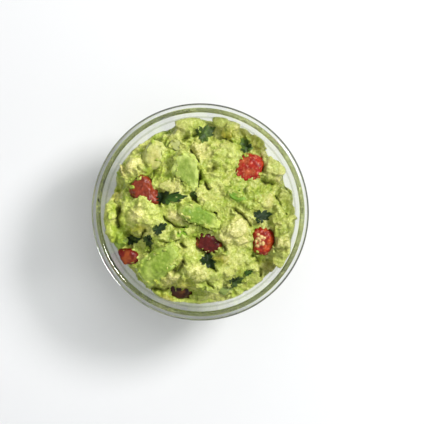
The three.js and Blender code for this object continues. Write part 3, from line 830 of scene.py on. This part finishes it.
def pick_tones(places):
    """A tone for each place, partly random and partly shared with its surroundings."""
    names = list(TONE_SHARES)
    ends = np.cumsum([TONE_SHARES[n] for n in names])
    drift = 0.5 + 0.5 * noise(places, 9 * MM, 3)
    pick = np.clip(rng.uniform(size=len(places)) * 0.6 + drift * 0.4, 0, 0.999) * ends[-1]
    colours = np.array([linear(TONES[n]) for n in names])[np.searchsorted(ends, pick)]
    return colours * rng.uniform(0.88, 1.08, (len(places), 1))


def named_lumps(ground_tree):
    """The lumps that stand out, where there is ground under them, and their tones."""
    centres, sizes, turns, tones = [], [], [], []
    for x, y, length, width, rise, turn, tone in LUMPS:
        ground = drop(ground_tree, x * MM, y * MM)
        if ground is None:
            continue
        half_height = (rise + 1.2) / 2 * 1.3
        centres.append(ground[0] + [0, 0, (rise - half_height) * MM])
        sizes.append(np.array([length / 2, width / 2, half_height]) * MM * 1.12)
        turns.append(math.radians(turn))
        tones.append(linear(TONES[tone]))
    shape = crumbs(np.array(centres), np.array(sizes), upright_turns(np.array(turns)), 4)
    return shape, np.repeat(np.array(tones), len(shape[0]) // len(centres), axis=0)


def scattered_lumps(places, small, large, sunk=0, ways=None):
    """Random broken lumps on the given places, and their tones."""
    count = len(places)
    radii = small + (large - small) * rng.uniform(size=count) ** 1.5
    if ways is not None:
        places = places + ways * (radii * rng.uniform(-sunk, sunk * 0.7, count))[:, None]
    sizes = radii[:, None] * rng.uniform([1.0, 0.7, 0.5], [1.6, 1.1, 0.9], (count, 3))
    turns = turn_matrices(rng.normal(size=(count, 4)))
    shape = crumbs(places, sizes, turns, 3 if small > 1.5 * MM else 2)
    return shape, np.repeat(pick_tones(places), len(shape[0]) // count, axis=0)


def broken_relief(mesh, skin):
    """The skin broken into crumbs, and a tone shift for each."""
    rise = np.zeros(len(skin))
    shift = np.zeros(len(skin))
    rough = 0.35 + 0.65 * soft_step(noise(skin, 8 * MM, 1), -0.35, 0.25)
    for kind, (size, step, groove) in enumerate(RELIEF):
        inside, own = cells(skin, size, kind)
        edge = 1 - (1 - np.clip(inside / 0.6, 0, 1)) ** 2
        deep = 0.4 + 0.6 * (own[:, 1] > -0.3)
        rise += rough * (step * own[:, 0] * edge - groove * (1 - edge) * deep)
        shift += own[:, 1] * 0.5 ** kind
    rise += noise(skin, 1.6 * MM, 0) * 0.1 * MM
    calm = soft_step(-glass_depth(skin)[0], WALL_SNAP, WALL_SNAP + WALL_FADE)
    return skin + normals_of(mesh) * (rise * calm)[:, None], shift


def crevice_pull(skin):
    """How deep the cracks reach at each point of the skin."""
    pull = np.zeros(len(skin))
    wide = [noise(skin, 4.5 * MM, k) * 1.1 * MM for k in (0, 1)]
    fine = [noise(skin, 1.7 * MM, k + 2) * 0.5 * MM for k in (0, 1)]
    place = skin[:, :2] + np.stack([a + b for a, b in zip(wide, fine)], 1)
    breadth = 1.35 + 0.6 * noise(skin, 3 * MM, 3)
    strength = 0.85 + 0.5 * noise(skin, 3.6 * MM, 2)
    for half_width, depth, *points in CREVICES:
        ends = np.array(points) * MM
        for start, end in zip(ends, ends[1:]):
            way = end - start
            share = np.clip((place - start) @ way / (way @ way), 0, 1)
            away = np.linalg.norm(place - start - share[:, None] * way, axis=1)
            fall = np.exp(-(away / (breadth * half_width * MM)) ** 2)
            pull = np.maximum(pull, 1.3 * depth * MM * fall)
    return pull * np.clip(strength, 0, 1) * (skin[:, 2] > CRACK_FOOT)


def named_tones(skin, colours):
    """Leans the tones near each named lump towards its own."""
    for x, y, length, width, _, turn, tone in LUMPS:
        way = heading(math.radians(turn))
        away = skin[:, :2] - np.array([x, y]) * MM
        reach = ((away @ way) / (length * TONE_REACH)) ** 2
        reach += ((away @ [-way[1], way[0]]) / (width * TONE_REACH)) ** 2
        colours = mixed(colours, linear(TONES[tone]), TONE_PULL * np.exp(-reach ** 2))
    return colours


def paint_mash(mesh, tone_points, tones, shift, pull):
    """Gives each point of the skin the tone of its lump, with painted shade in the hollows
    and cracks, painted light and shade on its bumps, painted light towards the left,
    and a smear with painted light where it meets the glass.
    """
    skin = points_of(mesh)
    nearest, distance = nearest_of(skin, tone_points)
    fine = noise(skin, 2.4 * MM, 1)
    drift = soft_step(noise(skin, 5 * MM, 2) + 0.4 * fine, -0.5, 0.5)
    colours = mixed(linear(TONES["mid"]), linear(TONES["pale"]), drift)
    colours = mixed(colours, tones[nearest], np.clip(1.6 - distance / (0.8 * MM), 0, 1))
    colours = named_tones(skin, colours)
    for tone, share in (
        ("green", soft_step(noise(skin, 8 * MM, 0) + 0.5 * fine, 0.1, 0.6) * 0.3),
        ("green", soft_step(shift, 0.2, 0.9) * 0.25),
        ("cream", soft_step(noise(skin, 6.5 * MM, 3) - 0.5 * fine, 0.15, 0.6) * 0.38),
        ("cream", soft_step(-shift, 0.25, 0.9) * 0.25),
    ):
        colours = mixed(colours, linear(TONES[tone]), share)
    height = skin[:, 2:3]
    # Painted shade: hollows and cracks are painted towards a dark tone.
    dip = (smoothed(mesh, height, 8) - height)[:, 0]
    hollow = soft_step(dip, 0.08 * MM, 0.6 * MM) * HOLLOW_SHADE_SHARE
    hollow = hollow + soft_step(pull, 0.6 * MM, 2.4 * MM) * CRACK_SHADE_SHARE
    colours = mixed(colours, linear(PAINTED_SHADE_TONE), np.clip(hollow, 0, MOST_PAINTED_SHADE))
    # Painted light and shade: tops of bumps lighter, the ground between them darker.
    for rounds, full, painted_light_gain in BUMP_LIGHT_AND_SHADE:
        rise = np.clip((height - smoothed(mesh, height, rounds)) / full, -1, 1)
        colours = colours * (1 + rise * np.array(painted_light_gain))
    # Painted light: paler towards the left, darker towards the right.
    colours = colours * (1 - PAINTED_LIGHT_FALL * skin[:, :1] / HEAP_REACH)
    # Smear and painted light: the mash where it meets the glass is painted near white.
    smear_and_light = soft_step(glass_depth(skin)[0], -0.5 * MM, -0.1 * MM) * SMEAR_AND_GLASS_LIGHT_SHARE
    paint(mesh, smoothed(mesh, mixed(colours, linear(SMEAR_AND_GLASS_LIGHT), smear_and_light), 1, 0.4))


def lighter(mesh):
    """Fewer triangles, first low down, where the glass hides the detail."""
    below = np.nonzero(points_of(mesh)[:, 2] < PLAIN_BELOW)[0]
    below_share = len(below) / len(mesh.vertices)
    triangles = len(triangles_of(mesh))
    obj = linked("lighter", mesh)
    obj.vertex_groups.new(name="below").add(below.tolist(), 1.0, "REPLACE")
    first = obj.modifiers.new("first", "DECIMATE")
    first.vertex_group = "below"
    first.ratio = 1 - PLAIN_SHARE * below_share
    second = obj.modifiers.new("second", "DECIMATE")
    second.ratio = min(1.0, MOST_TRIANGLES / (triangles * first.ratio))
    light = evaluated(obj)
    press(light)
    return light


def mash_heap():
    """The CAD solid with broken lumps of every size grown out of its top."""
    core = node_solid("mash")
    solids = {name: node_solid(name) for name in EMBEDDED + LEAVES}
    mash_tree = tree_of(core)
    piece_tree = tree_of(*solids.values())
    groups = [named_lumps(tree_of(core, *(solids[n] for n in EMBEDDED)))]
    for count, small, large, sunk in LUMP_KINDS:
        places, ways = free_places(mash_tree, piece_tree, count)
        groups.append(scattered_lumps(places, small, large, sunk, ways))
    for kinds, count, reach, small, large in EDGE_CRUMBS:
        owners = tree_of(*(solids[n] for n in EMBEDDED if kind_of(n) in kinds))
        groups.append(scattered_lumps(edge_places(mash_tree, owners, count, reach), small, large))
    swollen = points_of(core) + normals_of(core) * CORE_SWELL
    lumps = [shape for shape, _ in groups]
    mesh = voxel_union(*joined([(swollen, triangles_of(core)), *lumps]), MASH_VOXEL)
    skin = smoothed(mesh, points_of(mesh), 1, 0.35)
    set_points(mesh, skin)
    skin, shift = broken_relief(mesh, skin)
    pull = crevice_pull(skin)
    skin[:, 2] -= pull
    set_points(mesh, pressed_to_glass(skin, WALL_SNAP))
    tones = np.concatenate([group_tones for _, group_tones in groups])
    paint_mash(mesh, joined(lumps)[0], tones, shift, pull)
    return new_piece("mash_heap", lighter(mesh), ["mash"], mash_material())


# ----- loose pieces

def main_axis(points):
    """The middle of a cloud of points, and the unit direction of its length."""
    middle = (points.max(0) + points.min(0)) / 2
    _, _, axes = np.linalg.svd(points - points.mean(0), full_matrices=False)
    return middle, axes[0]


def fine_skin(node_name):
    """A CAD piece with the fine skin of its kind."""
    voxel, rounds, relief = SKINS[kind_of(node_name)]
    source = node_solid(node_name)
    mesh = voxel_union(points_of(source), triangles_of(source), voxel)
    skin = smoothed(mesh, points_of(mesh), rounds)
    set_points(mesh, skin)
    rise = sum(noise(skin, size, kind) * depth for kind, (size, depth) in enumerate(relief))
    set_points(mesh, skin + normals_of(mesh) * (rise + SKIN_SWELL)[:, None])
    return mesh


def pointed(mesh, narrow):
    """Draws one end of a long piece to a point: the width left there."""
    skin = points_of(mesh)
    middle, way = main_axis(skin)
    way = way * (1 if way[1] < 0 else -1)
    side = np.array([-way[1], way[0], 0])
    along = (skin - middle) @ way
    across = (skin - middle) @ side
    width = 1 - (1 - narrow) * np.clip((along / along.max() + 0.3) / 1.3, 0, 1)
    set_points(mesh, skin + side * (across * (width - 1))[:, None])


def cut_flat(mesh, depth, tilt, turn):
    """Cuts the top of a piece off along a plane that falls by tilt towards turn."""
    skin = points_of(mesh)
    middle = (skin.max(0) + skin.min(0)) / 2
    way = heading(math.radians(turn))
    plane = skin[:, 2].max() - depth - ((skin - middle)[:, :2] @ way) * tilt
    plane = plane + noise(skin, 3.5 * MM, 2) * 0.14 * MM + noise(skin, 1.2 * MM, 1) * 0.16 * MM
    skin[:, 2] = np.minimum(skin[:, 2], plane)
    set_points(mesh, skin)


def striped(mesh, spacing, depth):
    """Fine ridges along a piece, as a cut leaves on avocado flesh; returns them."""
    skin = points_of(mesh)
    _, way = main_axis(skin)
    across = np.cross(way, [0, 0, 1])
    stretched = skin - np.outer(skin @ way, way) * 0.82
    ridges = noise(stretched, spacing, 1) + 0.6 * noise(stretched, spacing * 0.5, 2)
    wobble = noise(skin + across * 3 * MM, 6 * MM, 0)
    set_points(mesh, skin + normals_of(mesh) * (ridges * depth * (0.6 + 0.4 * wobble))[:, None])
    return ridges


def put_in(mesh, node_name, colours):
    """Paints a piece and puts it in for its CAD node, with the look of its kind."""
    kind = kind_of(node_name)
    paint(mesh, colours)
    name = f"{TITLES[kind]}_{number_of(node_name)}"
    new_piece(name, mesh, [node_name], piece_material(kind))


def avocado_chunks():
    for number, (middle_tone, edge_tone, (cut_depth, tilt, turn)) in enumerate(FLESH, 1):
        mesh = fine_skin(f"avocado_chunk_{number}")
        if number in POINTED:
            pointed(mesh, POINTED[number])
        cut_flat(mesh, cut_depth * MM, tilt, turn)
        ridges = striped(mesh, 1.3 * MM, 0.12 * MM)
        skin = press(mesh)
        middle, _ = main_axis(skin)
        spread = np.abs(skin - middle)[:, :2].max(0)
        out = np.linalg.norm((skin - middle)[:, :2] / spread, axis=1)
        edge = soft_step(out + 0.3 * noise(skin, 3 * MM, 1) + 0.1 * ridges, 0.35, 0.95)
        colours = mixed(linear(middle_tone), linear(edge_tone), edge)
        fleck = soft_step(noise(skin, 1.1 * MM, 0), 0.25, 0.6) * 0.4
        colours = mixed(colours, linear(edge_tone), fleck)
        put_in(mesh, f"avocado_chunk_{number}", colours * (1 + 0.05 * ridges[:, None]))


def tomato_seeds(mesh):
    """Seeds scattered on the cut side, as points and triangles."""
    tree = tree_of(mesh)
    middle, _ = main_axis(points_of(mesh))
    places = []
    for i in range(SEEDS):
        angle = 2.4 * i
        reach = 0.95 * MM * math.sqrt(i)
        x = middle[0] - 1.3 * MM + reach * math.cos(angle)
        hit, _ = drop(tree, x, middle[1] + 0.3 * MM + reach * 1.3 * math.sin(angle))
        places.append(hit + [0, 0, 0.1 * MM])
    sizes = np.array([0.7, 0.5, 0.5]) * MM * rng.uniform(0.7, 1.15, (SEEDS, 1))
    return crumbs(np.array(places), sizes, upright_turns(rng.uniform(0, 3, SEEDS)), 3, cuts=2)


def tomato_dice():
    for number, (flesh_tone, other_tone) in enumerate(TOMATO_TONES, 1):
        mesh = fine_skin(f"tomato_{number}")
        cut_flat(mesh, *TOMATO_CUT)
        if number == SEEDED:
            seeds = tomato_seeds(mesh)
            mesh = voxel_union(*joined([(points_of(mesh), triangles_of(mesh)), seeds]), SEED_VOXEL)
        skin = press(mesh)
        other = soft_step(noise(skin, 3.2 * MM, 2) + 0.5 * noise(skin, 1.2 * MM, 3), 0.1, 0.55)
        colours = mixed(linear(flesh_tone), linear(other_tone), other)
        # Painted glints: pinkish flecks standing in for wet highlights.
        fleck = soft_step(noise(skin, 0.7 * MM, 1), 0.35, 0.65) * GLINT_SHARES.get(number, 0)
        colours = mixed(colours, linear(GLINT_TONE), fleck)
        if number == SEEDED:
            colours[nearest_of(skin, seeds[0])[1] < 0.3 * MM] = linear(SEED_TONE)
        put_in(mesh, f"tomato_{number}", smoothed(mesh, colours, 1, 0.4))


def onion_pieces():
    for number, tone in enumerate(ONION_TONES, 1):
        mesh = fine_skin(f"onion_{number}")
        cut_flat(mesh, *ONION_CUT)
        put_in(mesh, f"onion_{number}", np.tile(linear(tone), (len(mesh.vertices), 1)))


# ----- leaves

def leaf_edge(angle, seed):
    """How far a cilantro leaf reaches each way: three lobes, teeth, narrow stalk end."""
    lobes = 0.5 + 0.5 * np.abs(np.cos(1.5 * angle)) ** 0.7
    stalk = 0.55 + 0.45 * np.cos(angle / 2) ** 2
    teeth = 1 + 0.13 * np.cos(9 * angle) + 0.07 * np.cos(21 * angle + seed)
    return lobes * stalk * teeth


def leaf_frame(node_name):
    """A leaf's origin, direction and size, read from its CAD solid."""
    flat = points_of(node_solid(node_name))[:, :2]
    middle = flat.mean(0)
    _, _, axes = np.linalg.svd(flat - middle, full_matrices=False)
    way = axes[0]
    along = (flat - middle) @ way
    across = (flat - middle) @ np.array([-way[1], way[0]])
    if np.abs(across[along < 0]).max() > np.abs(across[along > 0]).max():
        way, along, across = -way, -along, -across
    return middle, way, np.array([along.max() - along.min(), across.max() - across.min()])


def leaf_top(node_name, ground_tree, seed):
    """A leaf's upper side laid over the heap, and how near a vein each point is."""
    middle, way, size = leaf_frame(node_name)
    side = np.array([-way[1], way[0]])
    angles = np.linspace(0, 2 * np.pi, LEAF_TURNS, endpoint=False)
    edge = leaf_edge(angles, seed)
    outline = np.stack([edge * np.cos(angles), edge * np.sin(angles)], 1)
    low, high = outline.min(0), outline.max(0)
    shares = np.linspace(0, 1, LEAF_RINGS + 1)[1:]
    flat = np.concatenate([[[0, 0]], *(outline * share for share in shares)])
    local = (flat - (low + high) / 2) * (size / (high - low))
    place = middle + local[:, :1] * way + local[:, 1:] * side
    height = np.array([height_of(ground_tree, x, y) for x, y in place])
    share = np.concatenate([[0], np.repeat(shares, LEAF_TURNS)])
    turn = np.concatenate([[0], np.tile(angles, LEAF_RINGS)])
    vein = np.exp(-(np.sin(3 * turn / 2) / 0.12) ** 2) * share
    curl = LEAF_CURL * share ** 2 * (1 + np.sin(3 * turn + seed))
    return np.column_stack([place, height + LEAF_LIFT + curl - VEIN_DEPTH * vein]), vein


def ring_triangles():
    """Triangles of one side of a leaf: a fan in the middle, then rings."""
    triangles = []
    for i in range(LEAF_TURNS):
        j = (i + 1) % LEAF_TURNS
        triangles.append((0, 1 + i, 1 + j))
        for ring in range(LEAF_RINGS - 1):
            a, b, c, d = (1 + ring * LEAF_TURNS + n for n in (i, j, i + LEAF_TURNS, j + LEAF_TURNS))
            triangles += [(a, c, d), (a, d, b)]
    return np.array(triangles)


def leaves(ground_tree):
    """Thin toothed leaves laid over the finished heap."""
    inner = ring_triangles()
    for number, node_name in enumerate(LEAVES):
        top, vein = leaf_top(node_name, ground_tree, 1.3 * number)
        count = len(top)
        sheet = mesh_from("sheet", top, inner)
        top = smoothed(sheet, top, 5) * [0, 0, 1] + top * [1, 1, 0]
        under = top - [0, 0, LEAF_THICKNESS]
        rim = np.arange(LEAF_TURNS) + count - LEAF_TURNS
        after = np.roll(rim, -1)
        skirt = [np.stack([rim, after + count, after], 1), np.stack([rim, rim + count, after + count], 1)]
        triangles = np.concatenate([inner, inner[:, ::-1] + count, *skirt])
        mesh = mesh_from("leaf", np.concatenate([top, under]), triangles)
        first, second = (linear(LEAF_TONES[tone]) for tone in LEAF_LOOKS[number_of(node_name) - 1])
        colours = mixed(first, second, soft_step(noise(top, 3 * MM, number % 4), -0.2, 0.3))
        colours = colours * (1 + 0.5 * vein[:, None])
        put_in(mesh, node_name, np.concatenate([colours, colours * 0.8]))


# ----- floor and light

def pale_floor():
    bpy.ops.mesh.primitive_plane_add(size=FLOOR_SIZE, location=(0, 0, 0))
    floor = bpy.context.object
    floor.name = "floor"
    material, _, shader = new_material("floor")
    fill(shader, {"Base Color": (FLOOR_TONE, FLOOR_TONE, FLOOR_TONE, 1), "Roughness": 0.9})
    floor.data.materials.append(material)


def lights():
    """One round lamp at the upper right, and an even sky."""
    across, up = heading(KEY_ELEVATION)
    direction = Vector((*(heading(KEY_AZIMUTH) * across), up))
    key = bpy.data.lights.new("key", "AREA")
    key.shape = "DISK"
    key.size = KEY_SIZE
    key.energy = KEY_POWER
    lamp = linked("key", key)
    lamp.location = direction * KEY_DISTANCE
    lamp.rotation_euler = direction.to_track_quat("Z", "Y").to_euler()
    world = bpy.data.worlds.new("studio")
    world.use_nodes = True
    fill(world.node_tree.nodes["Background"], {"Color": (*SKY_TINT, 1), "Strength": SKY_STRENGTH})
    scene.world = world


def overhead_camera():
    camera = bpy.data.cameras.new("overhead")
    camera.sensor_width = SENSOR
    camera.lens = SENSOR * CAMERA_HEIGHT / FRAME_WIDTH
    camera.clip_start = 0.01
    obj = linked("overhead", camera)
    obj.location = (CAMERA_SIDE, 0, BOWL_HEIGHT + CAMERA_HEIGHT)
    scene.camera = obj


def look_settings():
    scene.view_settings.view_transform = "Standard"
    scene.cycles.use_denoising = True
    scene.cycles.max_bounces = 28
    scene.cycles.transmission_bounces = 28
    scene.cycles.transparent_max_bounces = 12


overhead_camera()
lights()
look_settings()
pale_floor()
glass_bowl()
heap = mash_heap()
avocado_chunks()
tomato_dice()
onion_pieces()
leaves(tree_of(heap.data, *(node_solid(name) for name in EMBEDDED)))
